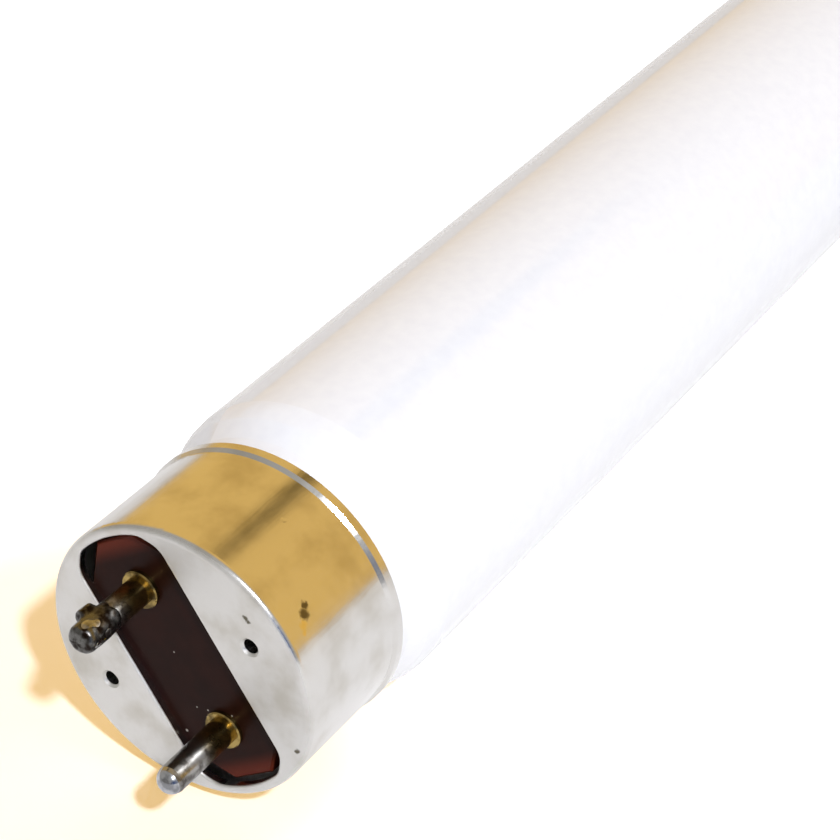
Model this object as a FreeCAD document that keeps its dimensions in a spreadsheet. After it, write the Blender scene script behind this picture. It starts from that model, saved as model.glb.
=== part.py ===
import FreeCAD, Part
import math
import os
import Sketcher

# A straight two-pin fluorescent lamp, lying with its axis along X.
# Each end is drawn in a frame of its own: z runs from the end face into the lamp,
# x runs along the line through the two pins, y runs across it.

os.makedirs("parts", exist_ok=True)
doc = FreeCAD.newDocument("lamp")
sheet = doc.addObject("Spreadsheet::Sheet", "Sheet")
vec = FreeCAD.Vector

sizes = {
    # glass
    "face_to_face": 589.8,
    "glass_diameter": 26.0,
    "neck_diameter": 22.8,
    "neck_end": 4.6,
    "neck_bevel": 0.7,
    "shoulder_start": 12.9,
    "shoulder_end": 16.6,
    "shoulder_rounding": 5.0,
    "mouth_diameter": 18.0,
    "mouth_floor_diameter": 9.0,
    "mouth_floor": 24.0,
    "exhaust_diameter": 4.4,
    "exhaust_end": 9.0,
    "exhaust_bevel": 1.0,
    # drawn cap
    "cap_diameter": 24.1,
    "cap_wall": 0.4,
    "cap_length": 12.2,
    "cap_corner": 0.6,
    "lip_flare": 0.22,
    "lip_length": 1.1,
    "lip_slope": 0.35,
    "slot_width": 9.6,
    "slot_end_radius": 11.15,
    "slot_end_width": 7.0,
    "slot_corner_cut": 1.4,
    "slot_corner_radius": 2.0,
    "slot_rounding": 0.25,
    "flange_wall": 0.35,
    "flange_depth": 0.75,
    "stake_spacing": 16.4,
    "stake_bore": 1.25,
    "stake_wall": 0.33,
    "stake_overhang": 0.4,
    "stake_head": 0.35,
    # insulator
    "insulator_length": 21.5,
    "insulator_width": 11.2,
    "insulator_corner": 3.5,
    "insulator_thickness": 1.6,
    "insulator_edge": 0.2,
    "ear_width": 6.0,
    "ear_margin": 2.0,
    "ear_corner": 1.2,
    # contact pins
    "pin_spacing": 12.7,
    "pin_diameter": 2.35,
    "pin_reach": 7.1,
    "pin_bore": 1.7,
    "pin_end_diameter": 2.15,
    "pin_end_taper": 0.35,
    "collar_diameter": 3.3,
    "collar_thickness": 0.42,
    "collar_bevel": 0.1,
    "rivet_shank_diameter": 2.7,
    "rivet_diameter": 3.4,
    "rivet_thickness": 0.4,
    "rivet_funnel": 0.3,
    "solder_dome": 0.72,
    "solder_depth": 0.9,
    # lead wires and cement
    "wire_diameter": 0.5,
    "wire_root_spacing": 5.8,
    "wire_bend": 30.0,
    "wire_straight": 1.9,
    "wire_seat": 0.05,
    "cement_start": 5.6,
    "cement_end": 10.6,
    # fits
    "pin_clearance": 0.025,
    "stake_clearance": 0.05,
    "seat_clearance": 0.01,
    # how far the line through the pins leans from upright, in degrees
    "pin_line_lean": 34.0,
}


class Size:
    # a length with the sheet expression that gives it
    def __init__(self, value, text):
        self.value = float(value)
        self.text = text

    def join(self, other, sign, value):
        return Size(value, "(" + self.text + " " + sign + " " + other.text + ")")

    def __add__(self, other):
        other = as_size(other)
        return self.join(other, "+", self.value + other.value)

    def __sub__(self, other):
        other = as_size(other)
        return self.join(other, "-", self.value - other.value)

    def __mul__(self, other):
        other = as_size(other)
        return self.join(other, "*", self.value * other.value)

    def __truediv__(self, other):
        other = as_size(other)
        return self.join(other, "/", self.value / other.value)

    def __neg__(self):
        return Size(-self.value, "(0 - " + self.text + ")")

    def root(self):
        return Size(math.sqrt(self.value), "sqrt(" + self.text + ")")


def as_size(number):
    return number if isinstance(number, Size) else Size(number, str(number))


named = {}
for row, (alias, number) in enumerate(sizes.items(), start=1):
    cell = "A" + str(row)
    sheet.set(cell, str(number))
    sheet.setAlias(cell, alias)
    named[alias] = Size(number, "Sheet." + alias)
doc.recompute()


def half(alias):
    return named[alias] / 2


def origin_plane(body, role):
    for feature in body.Origin.OriginFeatures:
        if feature.Role == role:
            return feature
    raise ValueError(role)


def new_sketch(body, name, role, height=None):
    sketch = body.newObject("Sketcher::SketchObject", name)
    sketch.AttachmentSupport = [(origin_plane(body, role), "")]
    sketch.MapMode = "FlatFace"
    if height is not None:
        sketch.setExpression("AttachmentOffset.Base.z", height.text)
    return sketch


def set_distance(sketch, kind, geo, pos, size):
    axis = -2 if kind == "DistanceX" else -1
    if abs(size.value) < 1e-9:
        sketch.addConstraint(Sketcher.Constraint("PointOnObject", geo, pos, axis))
        return
    index = sketch.addConstraint(Sketcher.Constraint(kind, -1, 1, geo, pos, size.value))
    sketch.setExpression("Constraints[" + str(index) + "]", size.text)


def end_at(sketch, geo, point):
    near = sketch.getPoint(geo, 1).distanceToPoint(point) < sketch.getPoint(geo, 2).distanceToPoint(point)
    return 1 if near else 2


def draw_outline(sketch, corners, arcs=()):
    # a closed outline; the edges listed in arcs are arcs centred on the sketch's upright axis
    corners = [(as_size(x), as_size(y)) for x, y in corners]
    spots = [vec(x.value, y.value, 0) for x, y in corners]
    count = len(corners)
    for index in range(count):
        start, stop = spots[index], spots[(index + 1) % count]
        if index in arcs:
            # the centre (0, height) is as far from both ends
            if abs(start.y - stop.y) < 1e-9:
                raise ValueError("arc ends at one height")
            height = (start.dot(start) - stop.dot(stop)) / (2 * (start.y - stop.y))
            centre = vec(0, height, 0)
            radius = start.distanceToPoint(centre)
            middle = ((start + stop) * 0.5) - centre
            middle.normalize()
            curve = Part.Arc(start, centre + middle * radius, stop)
            sketch.addGeometry(curve)
        else:
            sketch.addGeometry(Part.LineSegment(start, stop))
    for index in range(count):
        follower = (index + 1) % count
        joint = spots[follower]
        end = end_at(sketch, index, joint)
        begin = end_at(sketch, follower, joint)
        sketch.addConstraint(Sketcher.Constraint("Coincident", index, end, follower, begin))
        set_distance(sketch, "DistanceX", follower, begin, corners[follower][0])
        set_distance(sketch, "DistanceY", follower, begin, corners[follower][1])
    for index in arcs:
        sketch.addConstraint(Sketcher.Constraint("PointOnObject", index, 3, -2))


def draw_circle(sketch, x, y, radius):
    x, y, radius = as_size(x), as_size(y), as_size(radius)
    geo = sketch.addGeometry(Part.Circle(vec(x.value, y.value, 0), vec(0, 0, 1), radius.value))
    set_distance(sketch, "DistanceX", geo, 3, x)
    set_distance(sketch, "DistanceY", geo, 3, y)
    index = sketch.addConstraint(Sketcher.Constraint("Radius", geo, radius.value))
    sketch.setExpression("Constraints[" + str(index) + "]", radius.text)


def spin(body, kind, name, sketch):
    feature = body.newObject("PartDesign::" + kind, name)
    feature.Profile = sketch
    feature.ReferenceAxis = (sketch, ["V_Axis"])
    feature.Angle = 360
    return feature


def raise_pad(body, name, sketch, length):
    pad = body.newObject("PartDesign::Pad", name)
    pad.Profile = sketch
    pad.setExpression("Length", length.text)
    return pad


def cut_through(body, name, sketch):
    doc.recompute()
    before = body.Shape.Volume
    pocket = body.newObject("PartDesign::Pocket", name)
    pocket.Profile = sketch
    pocket.Type = "ThroughAll"
    pocket.Midplane = True
    doc.recompute()
    if body.Shape.Volume > before - 1e-6:
        raise ValueError(name + " cuts nothing")
    return pocket


def round_edges(body, name, kind, edges, size):
    base = body.Tip
    feature = body.newObject("PartDesign::" + kind, name)
    feature.Base = (base, edges)
    feature.setExpression("Radius" if kind == "Fillet" else "Size", size.text)
    doc.recompute()
    return feature


def circle_edges(shape, radius, height):
    found = []
    for index, edge in enumerate(shape.Edges, start=1):
        curve = edge.Curve
        if not isinstance(curve, Part.Circle):
            continue
        if abs(curve.Radius - radius) < 1e-4 and abs(curve.Center.z - height) < 1e-4:
            found.append("Edge" + str(index))
    return found


def edges_at(shape, height, reach):
    # edges that lie wholly at one height and within a distance of the axis
    found = []
    for index, edge in enumerate(shape.Edges, start=1):
        spots = [vertex.Point for vertex in edge.Vertexes]
        spots.append(edge.valueAt((edge.FirstParameter + edge.LastParameter) / 2))
        level = all(abs(spot.z - height) < 1e-4 for spot in spots)
        inside = all(math.hypot(spot.x, spot.y) < reach for spot in spots)
        if level and inside:
            found.append("Edge" + str(index))
    return found


def slot_corners(grow):
    # the face's opening: straight sides, cut corners and ends that follow the rim
    side = half("slot_width") + grow
    tip = half("slot_end_width") + grow
    radius = named["slot_end_radius"] + grow
    end = (radius * radius - tip * tip).root()
    reach = end - named["slot_corner_cut"]
    return [
        (end, -tip), (end, tip), (reach, side), (-reach, side),
        (-end, tip), (-end, -tip), (-reach, -side), (reach, -side),
    ]


def draw_slot(sketch, grow):
    # both ends are arcs round the lamp's axis
    draw_outline(sketch, slot_corners(grow), arcs=(0, 4))


def slot_corner_edges(shape):
    # the upright edges at the opening's corners
    corners = slot_corners(as_size(0))
    found = []
    for index, edge in enumerate(shape.Edges, start=1):
        low, high = edge.Vertexes[0].Point, edge.Vertexes[-1].Point
        upright = math.hypot(low.x - high.x, low.y - high.y) < 1e-4 < abs(low.z - high.z)
        if upright and any(math.hypot(low.x - x.value, low.y - y.value) < 1e-3 for x, y in corners):
            found.append("Edge" + str(index))
    return found


def make_glass():
    # sealed tube: straight barrel, shoulders, necks, and at each end the stem's
    # open mouth with the sealed exhaust stub standing in it
    body = doc.addObject("PartDesign::Body", "glass_tube")
    end = half("face_to_face")
    barrel, neck = half("glass_diameter"), half("neck_diameter")
    rim = end - named["neck_end"]
    low = end - named["shoulder_start"]
    high = end - named["shoulder_end"]
    profile = new_sketch(body, "glass_profile", "XZ_Plane")
    draw_outline(profile, [
        (0, -rim), (neck, -rim), (neck, -low), (barrel, -high),
        (barrel, high), (neck, low), (neck, rim), (0, rim),
    ])
    spin(body, "Revolution", "glass_barrel", profile)
    doc.recompute()
    shoulders = []
    for radius, height in ((neck, low), (barrel, high), (neck, -low), (barrel, -high)):
        shoulders += circle_edges(body.Shape, radius.value, height.value)
    round_edges(body, "glass_shoulders", "Fillet", shoulders, named["shoulder_rounding"])
    floor = end - named["mouth_floor"]
    stub = half("exhaust_diameter")
    mouth, root = half("mouth_diameter"), half("mouth_floor_diameter")
    for name, side in (("front", -1), ("rear", 1)):
        section = new_sketch(body, "mouth_section_" + name, "XZ_Plane")
        stub_end = end - named["exhaust_end"]
        draw_outline(section, [
            (0, rim * side), (mouth, rim * side), (root, floor * side),
            (stub, floor * side), (stub, stub_end * side), (0, stub_end * side),
        ])
        before = body.Shape.Volume
        spin(body, "Groove", "mouth_" + name, section)
        doc.recompute()
        if body.Shape.Volume > before - 1e-6:
            raise ValueError("mouth cuts nothing")
    rims = []
    for side in (-1, 1):
        rims += circle_edges(body.Shape, neck.value, side * rim.value)
        rims += circle_edges(body.Shape, mouth.value, side * rim.value)
    round_edges(body, "glass_rims", "Chamfer", rims, named["neck_bevel"])
    stubs = []
    for side in (-1, 1):
        stubs += circle_edges(body.Shape, stub.value, side * (end - named["exhaust_end"]).value)
    round_edges(body, "exhaust_ends", "Chamfer", stubs, named["exhaust_bevel"])
    return body


def make_cap(name):
    # drawn shell with a flared lip, a flanged slot and two stakes drawn inwards
    body = doc.addObject("PartDesign::Body", name)
    outer = half("cap_diameter")
    wall = named["cap_wall"]
    lip = outer + named["lip_flare"]
    length = named["cap_length"]
    step = length - named["lip_length"]
    slope = named["lip_slope"]
    profile = new_sketch(body, name + "_profile", "XZ_Plane")
    draw_outline(profile, [
        (0, 0), (outer, 0), (outer, step), (lip, step + slope), (lip, length),
        (lip - wall, length), (lip - wall, step + slope), (outer - wall, step),
        (outer - wall, wall), (0, wall),
    ])
    spin(body, "Revolution", name + "_shell", profile)
    doc.recompute()
    inner_corner = circle_edges(body.Shape, (outer - wall).value, wall.value)
    round_edges(body, name + "_inner_corner", "Chamfer", inner_corner, named["cap_corner"] - wall)
    outer_corner = circle_edges(body.Shape, outer.value, 0)
    round_edges(body, name + "_outer_corner", "Fillet", outer_corner, named["cap_corner"])

    flange = new_sketch(body, name + "_flange_outline", "XY_Plane", wall / 2)
    draw_slot(flange, named["flange_wall"])
    raise_pad(body, name + "_flange", flange, named["flange_depth"] - wall / 2)
    slot = new_sketch(body, name + "_slot_outline", "XY_Plane")
    draw_slot(slot, as_size(0))
    cut_through(body, name + "_slot", slot)
    corners = slot_corner_edges(body.Shape)
    round_edges(body, name + "_slot_corners", "Fillet", corners, named["slot_corner_radius"])
    reach = named["slot_end_radius"] + wall / 4
    mouth = edges_at(body.Shape, 0.0, reach.value)
    round_edges(body, name + "_slot_edge", "Fillet", mouth, named["slot_rounding"])

    stake = half("stake_bore") + named["stake_wall"]
    across = half("stake_spacing")
    behind = named["flange_depth"] + named["insulator_thickness"] + named["seat_clearance"]
    tubes = new_sketch(body, name + "_stake_outline", "XY_Plane", wall / 2)
    heads = new_sketch(body, name + "_stake_head_outline", "XY_Plane", behind)
    bores = new_sketch(body, name + "_stake_bore_outline", "XY_Plane")
    for side in (-1, 1):
        draw_circle(tubes, 0, across * side, stake)
        draw_circle(heads, 0, across * side, stake + named["stake_overhang"])
        draw_circle(bores, 0, across * side, half("stake_bore"))
    raise_pad(body, name + "_stakes", tubes, behind + named["stake_head"] - wall / 2)
    raise_pad(body, name + "_stake_heads", heads, named["stake_head"])
    cut_through(body, name + "_stake_bores", bores)
    mouths = edges_at(body.Shape, 0.0, (across + stake).value)
    mouths = [edge for edge in mouths if edge in circle_edges(body.Shape, half("stake_bore").value, 0)]
    round_edges(body, name + "_stake_mouths", "Chamfer", mouths, wall / 2)
    return body


def make_insulator(name):
    # moulded strip seated on the slot's flange, with an ear each way for the stakes
    body = doc.addObject("PartDesign::Body", name)
    end, side = half("insulator_length"), half("insulator_width")
    cut = named["insulator_corner"]
    ear, ear_cut = half("ear_width"), named["ear_corner"]
    span = half("stake_spacing") + named["ear_margin"]
    quarter = [
        (end, side - cut), (end - cut, side), (ear, side), (ear, span - ear_cut), (ear - ear_cut, span),
    ]
    corners = list(quarter)
    corners += [(-x, y) for x, y in reversed(quarter)]
    corners += [(-x, -y) for x, y in quarter]
    corners += [(x, -y) for x, y in reversed(quarter)]
    outline = new_sketch(body, name + "_outline", "XY_Plane", named["flange_depth"])
    draw_outline(outline, corners)
    raise_pad(body, name + "_plate", outline, named["insulator_thickness"])
    holes = new_sketch(body, name + "_hole_outline", "XY_Plane")
    shank = half("rivet_shank_diameter") + named["pin_clearance"]
    stake = half("stake_bore") + named["stake_wall"] + named["stake_clearance"]
    for way in (-1, 1):
        draw_circle(holes, half("pin_spacing") * way, 0, shank)
        draw_circle(holes, 0, half("stake_spacing") * way, stake)
    cut_through(body, name + "_holes", holes)
    front = []
    for index, edge in enumerate(body.Shape.Edges, start=1):
        spots = [vertex.Point for vertex in edge.Vertexes]
        level = all(abs(spot.z - named["flange_depth"].value) < 1e-4 for spot in spots)
        beyond = all(abs(spot.x) > (end - cut).value - 1e-4 for spot in spots)
        if level and beyond and not isinstance(edge.Curve, Part.Circle):
            front.append("Edge" + str(index))
    round_edges(body, name + "_end_bevel", "Chamfer", front, named["insulator_edge"])
    return body


def make_pin(name):
    # hollow riveted pin: swaged outer end, collar outside the insulator, clinched head inside
    body = doc.addObject("PartDesign::Body", name)
    shank, bore, swell = half("pin_diameter"), half("pin_bore"), half("rivet_shank_diameter")
    tip = named["solder_dome"] - named["pin_reach"]
    seat = named["flange_depth"] - named["seat_clearance"]
    back = named["flange_depth"] + named["insulator_thickness"] + named["seat_clearance"]
    head = back + named["rivet_thickness"]
    collar = half("collar_diameter")
    funnel = named["rivet_funnel"]
    profile = new_sketch(body, name + "_profile", "XZ_Plane")
    draw_outline(profile, [
        (bore, tip), (half("pin_end_diameter"), tip), (shank, tip + named["pin_end_taper"]),
        (shank, seat - named["collar_thickness"]), (collar, seat - named["collar_thickness"]),
        (collar, seat), (swell, seat), (swell, back), (half("rivet_diameter"), back),
        (half("rivet_diameter"), head), (bore + funnel, head), (bore, head - funnel),
    ])
    spin(body, "Revolution", name + "_tube", profile)
    doc.recompute()
    brim = circle_edges(body.Shape, collar.value, (seat - named["collar_thickness"]).value)
    round_edges(body, name + "_collar_edge", "Chamfer", brim, named["collar_bevel"])
    return body


def make_solder(name):
    # solder that closes the pin: a plug in the bore and a dome over the end
    body = doc.addObject("PartDesign::Body", name)
    tip = named["solder_dome"] - named["pin_reach"]
    plug = half("pin_bore") - named["seat_clearance"]
    edge = tip - named["seat_clearance"]
    profile = new_sketch(body, name + "_profile", "XZ_Plane")
    draw_outline(profile, [
        (0, tip + named["solder_depth"]), (plug, tip + named["solder_depth"]), (plug, edge),
        (half("pin_end_diameter"), edge), (0, -named["pin_reach"]),
    ], arcs=(3,))
    spin(body, "Revolution", name + "_drop", profile)
    return body


def make_wire(name):
    # lead from the stem's floor, bent once into the pin's bore and up to the solder
    body = doc.addObject("PartDesign::Body", name)
    start = named["solder_dome"] - named["pin_reach"] + named["solder_depth"] + named["seat_clearance"]
    stop = named["mouth_floor"] - named["wire_seat"]
    across, root = half("pin_spacing"), half("wire_root_spacing")
    straight, bend = named["wire_straight"], named["wire_bend"]
    foot = vec(across.value, straight.value, 0)
    centre = foot - vec(bend.value, 0, 0)
    far = vec(root.value, stop.value, 0)
    # the last run touches the bend where it is square to the bend's radius
    reach = far - centre
    turn = math.atan2(reach.y, reach.x) - math.acos(bend.value / reach.Length)
    middle = centre + vec(math.cos(turn / 2), math.sin(turn / 2), 0) * bend.value
    touch = centre + vec(math.cos(turn), math.sin(turn), 0) * bend.value
    path = new_sketch(body, name + "_path", "XZ_Plane")
    path.addGeometry(Part.LineSegment(vec(across.value, start.value, 0), foot))
    path.addGeometry(Part.Arc(foot, middle, touch))
    path.addGeometry(Part.LineSegment(touch, far))
    arc_low, arc_high = end_at(path, 1, foot), end_at(path, 1, touch)
    path.addConstraint(Sketcher.Constraint("Tangent", 0, 2, 1, arc_low))
    path.addConstraint(Sketcher.Constraint("Tangent", 1, arc_high, 2, 1))
    path.addConstraint(Sketcher.Constraint("Vertical", 0))
    set_distance(path, "DistanceX", 0, 1, across)
    set_distance(path, "DistanceY", 0, 1, start)
    set_distance(path, "DistanceY", 0, 2, straight)
    set_distance(path, "DistanceX", 2, 2, root)
    set_distance(path, "DistanceY", 2, 2, stop)
    radius = path.addConstraint(Sketcher.Constraint("Radius", 1, bend.value))
    path.setExpression("Constraints[" + str(radius) + "]", bend.text)
    section = new_sketch(body, name + "_section", "XY_Plane", start)
    draw_circle(section, across, 0, half("wire_diameter"))
    doc.recompute()
    pipe = body.newObject("PartDesign::AdditivePipe", name + "_lead")
    pipe.Profile = section
    pipe.Spine = path
    return body


def make_cement(name):
    # ring of cement between the neck of the glass and the skirt of the cap
    body = doc.addObject("PartDesign::Body", name)
    inner = half("neck_diameter") + named["seat_clearance"]
    outer = half("cap_diameter") - named["cap_wall"] - named["seat_clearance"]
    start, stop = named["cement_start"], named["cement_end"]
    sag = (outer - inner) / 2
    profile = new_sketch(body, name + "_profile", "XZ_Plane")
    draw_outline(profile, [
        (inner, start + sag), (outer, start), (outer, stop), (inner, stop - sag),
    ])
    spin(body, "Revolution", name + "_ring", profile)
    return body


lean = math.radians(named["pin_line_lean"].value)
pin_line = vec(0, math.sin(lean), math.cos(lean))
lamp_axis = vec(1, 0, 0)


def end_frame(way, along=0.0, flip=False):
    # frame of the front end (way 1) or the rear end (way -1), stepped along the pin line
    inward = lamp_axis * way
    first = pin_line * (-1 if flip else 1)
    turn = FreeCAD.Rotation(first, inward.cross(first), inward, "ZXY")
    face = vec(-way * named["face_to_face"].value / 2, 0, named["glass_diameter"].value / 2)
    return FreeCAD.Placement(face + pin_line * along, turn)


glass = make_glass()
glass_turn = FreeCAD.Rotation(pin_line, lamp_axis.cross(pin_line), lamp_axis, "ZXY")
glass.Placement = FreeCAD.Placement(vec(0, 0, named["glass_diameter"].value / 2), glass_turn)
pieces = [glass]
for place, way in (("front", 1), ("rear", -1)):
    for maker, stem in ((make_cap, "end_cap"), (make_insulator, "insulator"), (make_cement, "cement_ring")):
        piece = maker(stem + "_" + place)
        piece.Placement = end_frame(way)
        pieces.append(piece)
    for level, side in (("upper", 1), ("lower", -1)):
        shift = side * half("pin_spacing").value
        for maker, stem in ((make_pin, "contact_pin"), (make_solder, "solder_tip")):
            piece = maker(stem + "_" + place + "_" + level)
            piece.Placement = end_frame(way, shift)
            pieces.append(piece)
        piece = make_wire("lead_wire_" + place + "_" + level)
        piece.Placement = end_frame(way, 0.0, side < 0)
        pieces.append(piece)
doc.recompute()

for item in doc.Objects:
    if "Invalid" in item.State or "Error" in item.State:
        raise ValueError(item.Name + " failed")
for piece in pieces:
    if piece.Shape.isNull() or not piece.Shape.isValid():
        raise ValueError(piece.Label + " has no valid shape")
    if len(piece.Shape.Solids) != 1:
        raise ValueError(piece.Label + " is not one solid")
for piece in pieces:
    piece.Shape.exportStep("parts/" + piece.Label + ".step")
    print(piece.Label, round(piece.Shape.Volume, 3))
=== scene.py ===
import bpy
import math
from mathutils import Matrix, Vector


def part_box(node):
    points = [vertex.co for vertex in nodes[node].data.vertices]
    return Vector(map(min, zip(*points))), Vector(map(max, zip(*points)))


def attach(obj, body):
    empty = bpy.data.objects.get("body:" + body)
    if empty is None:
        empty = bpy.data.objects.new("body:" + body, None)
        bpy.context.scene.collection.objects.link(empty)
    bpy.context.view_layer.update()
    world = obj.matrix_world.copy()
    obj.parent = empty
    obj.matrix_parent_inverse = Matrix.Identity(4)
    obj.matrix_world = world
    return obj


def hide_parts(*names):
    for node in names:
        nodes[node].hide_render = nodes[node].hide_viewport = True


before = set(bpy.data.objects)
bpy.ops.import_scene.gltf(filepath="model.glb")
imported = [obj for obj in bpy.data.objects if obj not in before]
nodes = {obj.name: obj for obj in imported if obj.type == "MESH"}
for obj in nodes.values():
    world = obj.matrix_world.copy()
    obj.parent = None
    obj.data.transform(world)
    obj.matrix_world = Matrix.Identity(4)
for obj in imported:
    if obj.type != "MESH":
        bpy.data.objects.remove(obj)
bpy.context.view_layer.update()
mm = 0.001
smoothStep = {"interpolation_type": "SMOOTHSTEP"}
colourMix = {"data_type": "RGBA"}

# where the lamp lies: its end face towards the camera, its axis, and the pins' line
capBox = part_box("end_cap_front")
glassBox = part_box("glass_tube")
faceX = capBox[0][0]
axisZ = (glassBox[0][2] + glassBox[1][2]) / 2

# directions at the front end: along the line through the pins, and across it
pinUpper, pinLower = [sum((Vector(c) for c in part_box("contact_pin_front_" + level)), Vector()) / 2
                      for level in ("upper", "lower")]
pinWay = (pinUpper - pinLower).normalized()
acrossWay = Vector((1, 0, 0)).cross(pinWay)


def onEnd(depth, along, across):
    # a place given in mm: depth into the lamp, along the pins' line, across it
    return Vector((faceX + depth * mm, 0, axisZ)) + pinWay * (along * mm) + acrossWay * (across * mm)


def hexColour(code, alpha=1.0):
    # sRGB hex to the linear values the shaders want
    parts = [int(code[i:i + 2], 16) / 255 for i in (1, 3, 5)]
    linear = [p / 12.92 if p <= 0.04045 else ((p + 0.055) / 1.055) ** 2.4 for p in parts]
    return (*linear, alpha)


def addNode(tree, kind, settings=None, links=None, **values):
    # one node with its settings, socket values and incoming links
    node = tree.nodes.new(kind)
    for name, value in (settings or {}).items():
        setattr(node, name, value)
    for name, value in values.items():
        node.inputs[name.replace("_", " ")].default_value = value
    for name, source in (links or {}).items():
        tree.links.new(source, node.inputs[name])
    return node


def newMaterial(name):
    material = bpy.data.materials.new(name)
    material.use_nodes = True
    material.node_tree.nodes.clear()
    return material, material.node_tree


def markMask(tree, vector, marks):
    # 1 inside any of the marks, fading out at its edge; each mark is a place in mm and a radius in mm
    mask = None
    for spot, radius in marks:
        away = addNode(tree, "ShaderNodeVectorMath", {"operation": "DISTANCE"}, {0: vector})
        away.inputs[1].default_value = onEnd(*spot)
        inside = addNode(tree, "ShaderNodeMapRange", smoothStep,
                         {"Value": away.outputs["Value"]}, From_Min=radius * mm, From_Max=radius * 0.4 * mm)
        if mask is None:
            mask = inside.outputs["Result"]
        else:
            mask = addNode(tree, "ShaderNodeMath", {"operation": "MAXIMUM"},
                           {0: mask, 1: inside.outputs["Result"]}).outputs[0]
    return mask


def ripple(tree, vector, scale, reach):
    # the same place, pushed about by noise, so that a mark's edge is uneven
    noise = addNode(tree, "ShaderNodeTexNoise", links={"Vector": vector}, Scale=scale, Detail=2.0)
    middle = addNode(tree, "ShaderNodeVectorMath", {"operation": "SUBTRACT"}, {0: noise.outputs["Color"]})
    middle.inputs[1].default_value = (0.5, 0.5, 0.5)
    step = addNode(tree, "ShaderNodeVectorMath", {"operation": "SCALE"}, {0: middle.outputs[0]}, Scale=reach)
    return addNode(tree, "ShaderNodeVectorMath", {"operation": "ADD"},
                   {0: vector, 1: step.outputs[0]}).outputs[0]


def blendColour(tree, factor, under, over):
    # a colour laid over another; each is a link or a hex value
    mix = addNode(tree, "ShaderNodeMix", colourMix, {0: factor})
    for index, colour in ((6, under), (7, over)):
        if isinstance(colour, str):
            mix.inputs[index].default_value = hexColour(colour)
        else:
            tree.links.new(colour, mix.inputs[index])
    return mix.outputs[2]


def finishMaterial(tree, shader):
    addNode(tree, "ShaderNodeOutputMaterial", links={"Surface": shader.outputs[0]})


def dress(nodeName, material):
    node = nodes[nodeName]
    node.data.materials.clear()
    node.data.materials.append(material)


# camera: long lens, looking down along the lamp from beside its pins
cameraSetup = {
    "spot": Vector((-115.1 * mm, -94.8 * mm, 124.1 * mm)),   # from the middle of the end face
    "aim": Vector((0.6951, 0.4423, -0.5669)),
    "lens": 109.6,
}


def makeCamera():
    data = bpy.data.cameras.new("camera")
    data.lens = cameraSetup["lens"]
    data.sensor_width = 36
    data.clip_start = 0.01
    camera = bpy.data.objects.new("camera", data)
    bpy.context.collection.objects.link(camera)
    camera.location = Vector((faceX, 0, axisZ)) + cameraSetup["spot"]
    camera.rotation_euler = cameraSetup["aim"].to_track_quat("-Z", "Y").to_euler()
    bpy.context.scene.camera = camera
    print("camera set")


# lights: a small main lamp close beside the camera, and a large warm one behind, which metal doesn't show
lampAim = Vector((faceX + 30 * mm, 0, axisZ))
lightSetup = {
    "main": {"towards": Vector((-0.41, -0.55, 0.73)), "distance": 1.1, "size": 0.07, "power": 11.6,
             "colour": (0.88, 0.91, 1.0)},
    "warm": {"towards": Vector((0.65, 0.70, 0.42)), "distance": 1.2, "size": 1.9, "power": 4.2,
             "colour": (1.0, 0.86, 0.66), "inMetal": False},
}

# room as metal and gloss show it: gold beyond the lamp, neutral before it, a dark gap overhead and a
# dusky blue low at the front; it lights matt surfaces a plain grey, and the camera sees white
roomSetup = {
    "front": (0.43, 0.42, 0.40), "beyond": (0.84, 0.54, 0.16), "onMatt": (0.30, 0.30, 0.31),
    "turnFrom": -0.15, "turnTo": 0.35, "strength": 1.0,
    "patches": [
        {"towards": Vector((0.695, 0.012, 0.718)), "inner": 2.0, "outer": 8.5,
         "colour": (0.012, 0.009, 0.003)},
        {"towards": Vector((-0.62, -0.75, 0.10)), "inner": 8.0, "outer": 26.0,
         "colour": (0.04, 0.10, 0.28)},
    ],
}


def makeLamps():
    for name, setup in lightSetup.items():
        data = bpy.data.lights.new(name, "AREA")
        data.shape = "DISK"
        data.size = setup["size"]
        data.energy = setup["power"]
        data.color = setup["colour"]
        lamp = bpy.data.objects.new(name, data)
        lamp.visible_camera = False
        lamp.visible_glossy = setup.get("inMetal", True)
        bpy.context.collection.objects.link(lamp)
        away = setup["towards"].normalized()
        lamp.location = lampAim + away * setup["distance"]
        lamp.rotation_euler = away.to_track_quat("Z", "Y").to_euler()
    print("lamps set")


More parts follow.
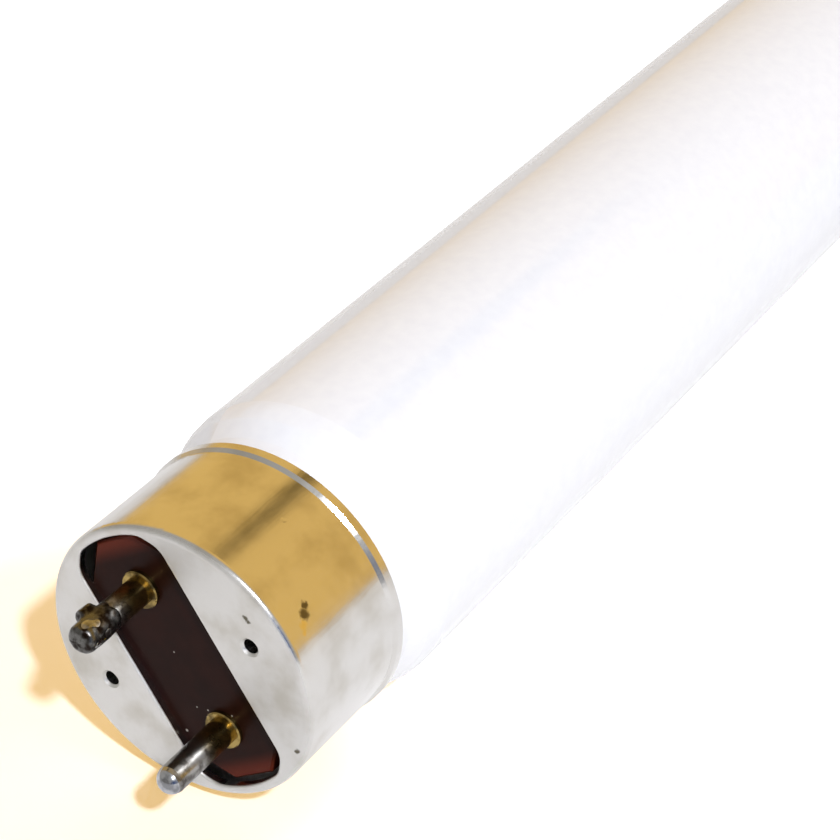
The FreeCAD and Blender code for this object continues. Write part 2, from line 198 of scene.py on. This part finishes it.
def makeRoom():
    world = bpy.data.worlds.new("room")
    bpy.context.scene.world = world
    world.use_nodes = True
    tree = world.node_tree
    tree.nodes.clear()
    way = addNode(tree, "ShaderNodeTexCoord").outputs["Generated"]
    split = addNode(tree, "ShaderNodeSeparateXYZ", links={"Vector": way})
    side = addNode(tree, "ShaderNodeMapRange", smoothStep, {"Value": split.outputs["X"]},
                   From_Min=roomSetup["turnFrom"], From_Max=roomSetup["turnTo"])
    colour = addNode(tree, "ShaderNodeMix", colourMix, {0: side.outputs["Result"]})
    colour.inputs[6].default_value = (*roomSetup["front"], 1)
    colour.inputs[7].default_value = (*roomSetup["beyond"], 1)
    for patch in roomSetup["patches"]:
        near = addNode(tree, "ShaderNodeVectorMath", {"operation": "DOT_PRODUCT"}, {0: way})
        near.inputs[1].default_value = patch["towards"].normalized()
        fade = addNode(tree, "ShaderNodeMapRange", smoothStep,
                       {"Value": near.outputs["Value"]}, From_Min=math.cos(math.radians(patch["outer"])),
                       From_Max=math.cos(math.radians(patch["inner"])))
        previous = colour.outputs[2]
        colour = addNode(tree, "ShaderNodeMix", colourMix, {0: fade.outputs["Result"], 6: previous})
        colour.inputs[7].default_value = (*patch["colour"], 1)
    path = addNode(tree, "ShaderNodeLightPath")
    matt = addNode(tree, "ShaderNodeMix", colourMix,
                   {0: path.outputs["Is Diffuse Ray"], 6: colour.outputs[2]})
    matt.inputs[7].default_value = (*roomSetup["onMatt"], 1)
    room = addNode(tree, "ShaderNodeBackground", links={"Color": matt.outputs[2]},
                   Strength=roomSetup["strength"])
    white = addNode(tree, "ShaderNodeBackground", Color=(1, 1, 1, 1), Strength=1.0)
    mix = addNode(tree, "ShaderNodeMixShader", links={0: path.outputs["Is Camera Ray"], 1: room.outputs[0],
                                                      2: white.outputs[0]})
    addNode(tree, "ShaderNodeOutputWorld", links={"Surface": mix.outputs[0]})
    print("room set")


# floor: white card; a glow that only the camera sees keeps it white, and paints a gold shadow colour around
# the front cap, centred on the side where the cap's shadow falls
floorSetup = {"side": 6.0, "paper": "#f4f2ee", "paintedShadowGlow": (0.52, 0.28, 0.0), "farGlow": (0.70, 0.70, 0.75),
              "nearReach": 19 * mm, "farReach": 34 * mm, "paintedShadowCentre": (faceX + 4 * mm, 12 * mm, 0)}


def makeFloor():
    bpy.ops.object.select_all(action="DESELECT")
    bpy.ops.mesh.primitive_plane_add(size=floorSetup["side"], location=(0, 0, glassBox[0][2]))
    floor = bpy.context.object
    floor.name = "floor"
    material, tree = newMaterial("whiteCardWithPaintedShadow")
    path = addNode(tree, "ShaderNodeLightPath")
    place = addNode(tree, "ShaderNodeTexCoord")
    away = addNode(tree, "ShaderNodeVectorMath", {"operation": "DISTANCE"}, {0: place.outputs["Object"]})
    away.inputs[1].default_value = floorSetup["paintedShadowCentre"]
    far = addNode(tree, "ShaderNodeMapRange", smoothStep, {"Value": away.outputs["Value"]},
                  From_Min=floorSetup["nearReach"], From_Max=floorSetup["farReach"])
    # painted shadow: near the front cap the camera-only glow is gold, so the cap's shadow there shows gold,
    # fading to the white glow further out
    tint = addNode(tree, "ShaderNodeMix", colourMix, {0: far.outputs["Result"]})
    tint.inputs[6].default_value = (*floorSetup["paintedShadowGlow"], 1)
    tint.inputs[7].default_value = (*floorSetup["farGlow"], 1)
    card = addNode(tree, "ShaderNodeBsdfDiffuse", Color=hexColour(floorSetup["paper"]))
    glow = addNode(tree, "ShaderNodeEmission", links={"Color": tint.outputs[2],
                                                      "Strength": path.outputs["Is Camera Ray"]})
    both = addNode(tree, "ShaderNodeAddShader", links={0: card.outputs[0], 1: glow.outputs[0]})
    finishMaterial(tree, both)
    floor.data.materials.append(material)
    print("floor laid")


# glass: soda-lime tube, white powder coating inside, so a white ground under a clear gloss
glassSetup = {"dark": "#ededf0", "light": "#f7f7f7", "grain": 900.0, "ground": 0.55, "gloss": 0.06}


def coatedGlass():
    material, tree = newMaterial("coatedSodaLimeGlass")
    place = addNode(tree, "ShaderNodeTexCoord")
    grain = addNode(tree, "ShaderNodeTexNoise", Scale=glassSetup["grain"], Detail=2.0,
                    links={"Vector": place.outputs["Object"]})
    tint = addNode(tree, "ShaderNodeValToRGB", links={"Fac": grain.outputs["Fac"]})
    tint.color_ramp.elements[0].color = hexColour(glassSetup["dark"])
    tint.color_ramp.elements[1].color = hexColour(glassSetup["light"])
    shader = addNode(tree, "ShaderNodeBsdfPrincipled", Roughness=glassSetup["ground"], Coat_Weight=1.0,
                     Coat_Roughness=glassSetup["gloss"], IOR=1.5, links={"Base Color": tint.outputs["Color"]})
    finishMaterial(tree, shader)
    return material


# cap: thin drawn aluminium, bright satin on the skirt and duller on the end face,
# with fine draw lines along the skirt, faint smudges and a few marks from use
capSetup = {
    "metal": "#e0deda", "smudge": "#c4bfb4", "dirt": "#6e685a", "tarnish": "#e6d9a8",
    "drawLines": 0.35 * mm, "lineStretch": 0.12, "smudgeSize": 4.0 * mm,
    "endRough": 0.42, "skirtRough": 0.13, "lineRough": 0.12, "nickDepth": -4.0,
    "markEdge": 2500.0, "markShift": 0.5 * mm,
    "dirtMarks": [((0, 2.3, 9.5), 0.32), ((0, 2.0, 9.6), 0.24), ((0, -9.0, 6.9), 0.34),
                  ((2.9, 0.4, 12.05), 0.62), ((3.4, 0.9, 12.0), 0.45),
                  ((12.6, -0.9, 12.2), 0.3), ((12.6, -2.2, 12.0), 0.26)],
    "tarnishMarks": [((2.3, -0.2, 12.05), 0.5), ((2.0, -0.7, 12.0), 0.32)],
    "scratches": [((7.2, 6.3, 10.27), 0.26), ((5.3, 3.7, 11.46), 0.24)],
}


def drawnAluminium():
    material, tree = newMaterial("drawnAluminium")
    place = addNode(tree, "ShaderNodeTexCoord").outputs["Object"]
    fine = 1 / capSetup["drawLines"]
    stretch = addNode(tree, "ShaderNodeMapping", links={"Vector": place},
                      Scale=(fine * capSetup["lineStretch"], fine, fine))
    lines = addNode(tree, "ShaderNodeTexNoise", Scale=1.0, Detail=3.0,
                    links={"Vector": stretch.outputs["Vector"]})
    cloud = addNode(tree, "ShaderNodeTexNoise", Scale=1 / capSetup["smudgeSize"], Detail=4.0,
                    links={"Vector": place})
    cloudy = addNode(tree, "ShaderNodeMapRange", smoothStep,
                     {"Value": cloud.outputs["Fac"]}, From_Min=0.4, From_Max=0.75, To_Max=0.8)
    depth = addNode(tree, "ShaderNodeSeparateXYZ", links={"Vector": place})
    skirt = addNode(tree, "ShaderNodeMapRange", smoothStep, {"Value": depth.outputs["X"]},
                    From_Min=faceX + 0.05 * mm, From_Max=faceX + 0.3 * mm,
                    To_Min=capSetup["endRough"], To_Max=capSetup["skirtRough"])
    rough = addNode(tree, "ShaderNodeMath", {"operation": "MULTIPLY_ADD", "use_clamp": True},
                    {0: lines.outputs["Fac"], 2: skirt.outputs["Result"]})
    rough.inputs[1].default_value = capSetup["lineRough"]
    uneven = ripple(tree, place, capSetup["markEdge"], capSetup["markShift"])
    colour = blendColour(tree, cloudy.outputs["Result"], capSetup["metal"], capSetup["smudge"])
    for marks, mark in (("tarnishMarks", "tarnish"), ("dirtMarks", "dirt")):
        colour = blendColour(tree, markMask(tree, uneven, capSetup[marks]), colour, capSetup[mark])
    nicks = markMask(tree, uneven, capSetup["scratches"])
    height = addNode(tree, "ShaderNodeMath", {"operation": "MULTIPLY_ADD"},
                     {0: nicks, 2: lines.outputs["Fac"]})
    height.inputs[1].default_value = capSetup["nickDepth"]
    bump = addNode(tree, "ShaderNodeBump", Strength=0.05, Distance=0.1 * mm,
                   links={"Height": height.outputs[0]})
    shader = addNode(tree, "ShaderNodeBsdfPrincipled", Metallic=1.0,
                     links={"Base Color": colour, "Roughness": rough.outputs[0],
                            "Normal": bump.outputs["Normal"]})
    finishMaterial(tree, shader)
    return material


# insulator: dark brown moulded phenolic, dull, redder at its two ends, with a few pale specks of dust
insulatorSetup = {
    "dark": "#150805", "light": "#2c120b", "ends": "#5c2517", "dust": "#a09a90",
    "rough": 0.3, "cloudSize": 2.5 * mm, "endFrom": 8.8 * mm, "endTo": 10.6 * mm,
    "specks": [((0.75, 0.7, -0.65), 0.1), ((0.75, -5.9, -4.2), 0.17), ((0.75, -4.15, -1.66), 0.1),
               ((0.75, -4.6, -0.7), 0.11), ((0.75, -8.75, -3.9), 0.16), ((0.75, -5.46, 1.46), 0.11)],
}


def mouldedPhenolic():
    material, tree = newMaterial("mouldedPhenolic")
    place = addNode(tree, "ShaderNodeTexCoord").outputs["Object"]
    cloud = addNode(tree, "ShaderNodeTexNoise", Scale=1 / insulatorSetup["cloudSize"], Detail=4.0,
                    links={"Vector": place})
    along = addNode(tree, "ShaderNodeVectorMath", {"operation": "DOT_PRODUCT"}, {0: place})
    along.inputs[1].default_value = pinWay
    level = addNode(tree, "ShaderNodeMath", {"operation": "SUBTRACT"}, {0: along.outputs["Value"]})
    level.inputs[1].default_value = Vector((0, 0, axisZ)).dot(pinWay)
    reach = addNode(tree, "ShaderNodeMath", {"operation": "ABSOLUTE"}, {0: level.outputs[0]})
    ends = addNode(tree, "ShaderNodeMapRange", smoothStep, {"Value": reach.outputs[0]},
                   From_Min=insulatorSetup["endFrom"], From_Max=insulatorSetup["endTo"])
    colour = blendColour(tree, cloud.outputs["Fac"], insulatorSetup["dark"], insulatorSetup["light"])
    colour = blendColour(tree, ends.outputs["Result"], colour, insulatorSetup["ends"])
    dusty = markMask(tree, place, insulatorSetup["specks"])
    colour = blendColour(tree, dusty, colour, insulatorSetup["dust"])
    shader = addNode(tree, "ShaderNodeBsdfPrincipled", Roughness=insulatorSetup["rough"], IOR=1.5,
                     Specular_IOR_Level=0.06, links={"Base Color": colour})
    finishMaterial(tree, shader)
    return material


# pins: tinned brass, brown brass where the tin has worn off by the collar, dark tarnish in patches
pinSetup = {"tin": "#aaa9a6", "brass": "#ae9558", "tarnish": "#2e2418", "tarnishSize": 1.1 * mm,
            "tinFrom": 3.4 * mm, "brassFrom": 1.4 * mm, "smoothest": 0.12, "roughest": 0.36}


def tinnedBrass():
    material, tree = newMaterial("tinnedBrass")
    place = addNode(tree, "ShaderNodeTexCoord").outputs["Object"]
    split = addNode(tree, "ShaderNodeSeparateXYZ", links={"Vector": place})
    reach = addNode(tree, "ShaderNodeMath", {"operation": "ABSOLUTE"}, {0: split.outputs["X"]})
    worn = addNode(tree, "ShaderNodeMapRange", smoothStep, {"Value": reach.outputs[0]},
                   From_Min=-faceX + pinSetup["brassFrom"], From_Max=-faceX + pinSetup["tinFrom"])
    mottle = addNode(tree, "ShaderNodeTexNoise", Scale=1 / pinSetup["tarnishSize"], Detail=4.0,
                     links={"Vector": place})
    patches = addNode(tree, "ShaderNodeMapRange", smoothStep,
                      {"Value": mottle.outputs["Fac"]}, From_Min=0.42, From_Max=0.66, To_Max=0.8)
    colour = blendColour(tree, worn.outputs["Result"], pinSetup["brass"], pinSetup["tin"])
    colour = blendColour(tree, patches.outputs["Result"], colour, pinSetup["tarnish"])
    rough = addNode(tree, "ShaderNodeMapRange", To_Min=pinSetup["smoothest"], To_Max=pinSetup["roughest"],
                    links={"Value": mottle.outputs["Fac"]})
    shader = addNode(tree, "ShaderNodeBsdfPrincipled", Metallic=1.0,
                     links={"Base Color": colour, "Roughness": rough.outputs["Result"]})
    finishMaterial(tree, shader)
    return material


# solder: tin-lead, bright where it set smooth, grey and burnt brown where it was left rough;
# the lead wires take a skin of the same kind
solderSetup = {
    "brightSolder": {"bright": "#c2c3c6", "dark": "#8e8f92", "roughest": 0.3, "bumps": 0.15},
    "roughSolder": {"bright": "#6a6966", "dark": "#211812", "roughest": 0.5, "bumps": 0.5},
    "leadWire": {"bright": "#a39a8c", "dark": "#8a7f70", "roughest": 0.4, "bumps": 0.1},
}


def tinSolder(name):
    material, tree = newMaterial(name)
    skin = solderSetup[name]
    place = addNode(tree, "ShaderNodeTexCoord").outputs["Object"]
    lumps = addNode(tree, "ShaderNodeTexNoise", Scale=1200.0, Detail=3.0, links={"Vector": place})
    patches = addNode(tree, "ShaderNodeMapRange", smoothStep,
                      {"Value": lumps.outputs["Fac"]}, From_Min=0.4, From_Max=0.65)
    rough = addNode(tree, "ShaderNodeMapRange", To_Min=0.1, To_Max=skin["roughest"],
                    links={"Value": lumps.outputs["Fac"]})
    bump = addNode(tree, "ShaderNodeBump", Strength=skin["bumps"], Distance=0.1 * mm,
                   links={"Height": lumps.outputs["Fac"]})
    colour = blendColour(tree, patches.outputs["Result"], skin["bright"], skin["dark"])
    shader = addNode(tree, "ShaderNodeBsdfPrincipled", Metallic=1.0, links={
        "Base Color": colour, "Roughness": rough.outputs["Result"], "Normal": bump.outputs["Normal"]})
    finishMaterial(tree, shader)
    return material


# crust: the upper pin's outer end, thick with rough solder, dented, with a burnt lump on its far side;
# rings are (reach past the end face, radius) in mm, dents (place from the pin's axis, reach, push) in mm
crustSetup = {
    "rings": [(2.9, 1.0), (3.0, 1.16), (3.3, 1.21), (3.8, 1.2), (4.3, 1.25), (4.8, 1.22), (5.3, 1.26),
              (5.8, 1.22), (6.2, 1.25), (6.55, 1.17), (6.8, 0.98), (6.93, 0.66), (6.98, 0.3)],
    "sides": 28, "unevenness": 0.045 * mm, "seed": 4,
    "pinAlong": 6.35, "lumpWay": Vector((0, 0.84, 0.54)), "lumpDepth": (3.9, 5.1), "lumpAngle": 27.0,
    "lumpSteps": [(0.45, 0.92), (0.4, 0.8), (0.25, 0.6)],
    "dents": [((-6.0, 1.0, 0.9), 0.42, 0.24), ((-5.2, 0.5, 1.1), 0.34, 0.18), ((-6.7, 0.2, 0.7), 0.4, 0.2),
              ((-4.6, -0.6, 1.0), 0.3, 0.12), ((-6.1, -0.9, 0.7), 0.36, 0.16)],
}


def deselectMesh(piece):
    bpy.ops.object.mode_set(mode="OBJECT")
    for parts in (piece.data.polygons, piece.data.edges, piece.data.vertices):
        for part in parts:
            part.select = False


def selectVertices(piece, chosen):
    # leave only the chosen vertices selected, and enter edit mode
    deselectMesh(piece)
    for vertex in piece.data.vertices:
        vertex.select = chosen(piece.matrix_world @ vertex.co)
    bpy.ops.object.mode_set(mode="EDIT")


def makeCrust():
    bpy.ops.object.select_all(action="DESELECT")
    axis = Vector((0, pinUpper.y, pinUpper.z))
    depth, radius = crustSetup["rings"][0]
    centre = axis + Vector((faceX - depth * mm, 0, 0))
    bpy.ops.mesh.primitive_circle_add(vertices=crustSetup["sides"], radius=radius * mm, fill_type="NGON",
                                      location=centre, rotation=(0, math.radians(90), 0))
    piece = bpy.context.object
    piece.name = "solderCrust"
    bpy.ops.object.mode_set(mode="EDIT")
    bpy.ops.mesh.select_all(action="SELECT")
    for nextDepth, nextRadius in crustSetup["rings"][1:]:
        bpy.ops.mesh.extrude_region_move(TRANSFORM_OT_translate={"value": ((depth - nextDepth) * mm, 0, 0)})
        centre = axis + Vector((faceX - nextDepth * mm, 0, 0))
        bpy.ops.transform.resize(value=(1, nextRadius / radius, nextRadius / radius), center_override=centre)
        depth, radius = nextDepth, nextRadius
    bpy.ops.mesh.select_all(action="SELECT")
    bpy.ops.transform.vertex_random(offset=crustSetup["unevenness"], normal=0.6, seed=crustSetup["seed"])
    # the lump stands out towards the far upper side
    away = crustSetup["lumpWay"].normalized()
    nearest, furthest = [faceX - d * mm for d in crustSetup["lumpDepth"]]
    deselectMesh(piece)
    for polygon in piece.data.polygons:
        middle = piece.matrix_world @ polygon.center
        out = Vector((0, middle.y - axis.y, middle.z - axis.z))
        polygon.select = (furthest < middle.x < nearest and len(polygon.vertices) == 4
                          and math.degrees(out.angle(away)) < crustSetup["lumpAngle"])
    bpy.ops.object.mode_set(mode="EDIT")
    lumpCentre = axis + Vector(((nearest + furthest) / 2, 0, 0)) + away * radius * mm
    for rise, narrowing in crustSetup["lumpSteps"]:
        bpy.ops.mesh.extrude_region_move(TRANSFORM_OT_translate={"value": away * rise * mm})
        lumpCentre = lumpCentre + away * rise * mm
        bpy.ops.transform.resize(value=(narrowing,) * 3, center_override=lumpCentre)
    for spot, reach, push in crustSetup["dents"]:
        centre = onEnd(spot[0], crustSetup["pinAlong"] + spot[1], spot[2])
        selectVertices(piece, lambda place: (place - centre).length < reach * mm)
        inward = Vector((0, axis.y - centre.y, axis.z - centre.z)).normalized()
        bpy.ops.transform.translate(value=inward * push * mm)
    bpy.ops.mesh.select_all(action="SELECT")
    bpy.ops.mesh.normals_make_consistent(inside=False)
    bpy.ops.object.mode_set(mode="OBJECT")
    bpy.ops.object.transform_apply(location=True, rotation=True, scale=True)
    smooth = piece.modifiers.new("smooth", "SUBSURF")
    smooth.levels = smooth.render_levels = 2
    bpy.ops.object.modifier_apply(modifier=smooth.name)
    bpy.ops.object.shade_smooth()
    piece.data.materials.append(tinSolder("roughSolder"))
    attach(piece, "root")
    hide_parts("solder_tip_front_upper")
    print("crust made")


# cement: dry, chalky, tan
cementSetup = {"tan": "#b7a88c", "grit": 1500.0, "gritHeight": 0.1 * mm, "rough": 0.9}


def basingCement():
    material, tree = newMaterial("basingCement")
    place = addNode(tree, "ShaderNodeTexCoord")
    grit = addNode(tree, "ShaderNodeTexNoise", Scale=cementSetup["grit"], Detail=3.0,
                   links={"Vector": place.outputs["Object"]})
    bump = addNode(tree, "ShaderNodeBump", Strength=0.4, Distance=cementSetup["gritHeight"],
                   links={"Height": grit.outputs["Fac"]})
    shader = addNode(tree, "ShaderNodeBsdfPrincipled", Base_Color=hexColour(cementSetup["tan"]),
                     Roughness=cementSetup["rough"], links={"Normal": bump.outputs["Normal"]})
    finishMaterial(tree, shader)
    return material


bpy.context.scene.view_settings.view_transform = "Standard"
makeCamera()
makeLamps()
makeRoom()
makeFloor()

finishes = {
    "glass_tube": coatedGlass(),
    "end_cap": drawnAluminium(),
    "insulator": mouldedPhenolic(),
    "contact_pin": tinnedBrass(),
    "solder_tip": tinSolder("brightSolder"),
    "lead_wire": tinSolder("leadWire"),
    "cement_ring": basingCement(),
}
for name in nodes:
    for stem, material in finishes.items():
        if name.startswith(stem):
            dress(name, material)
print("nodes dressed")
makeCrust()
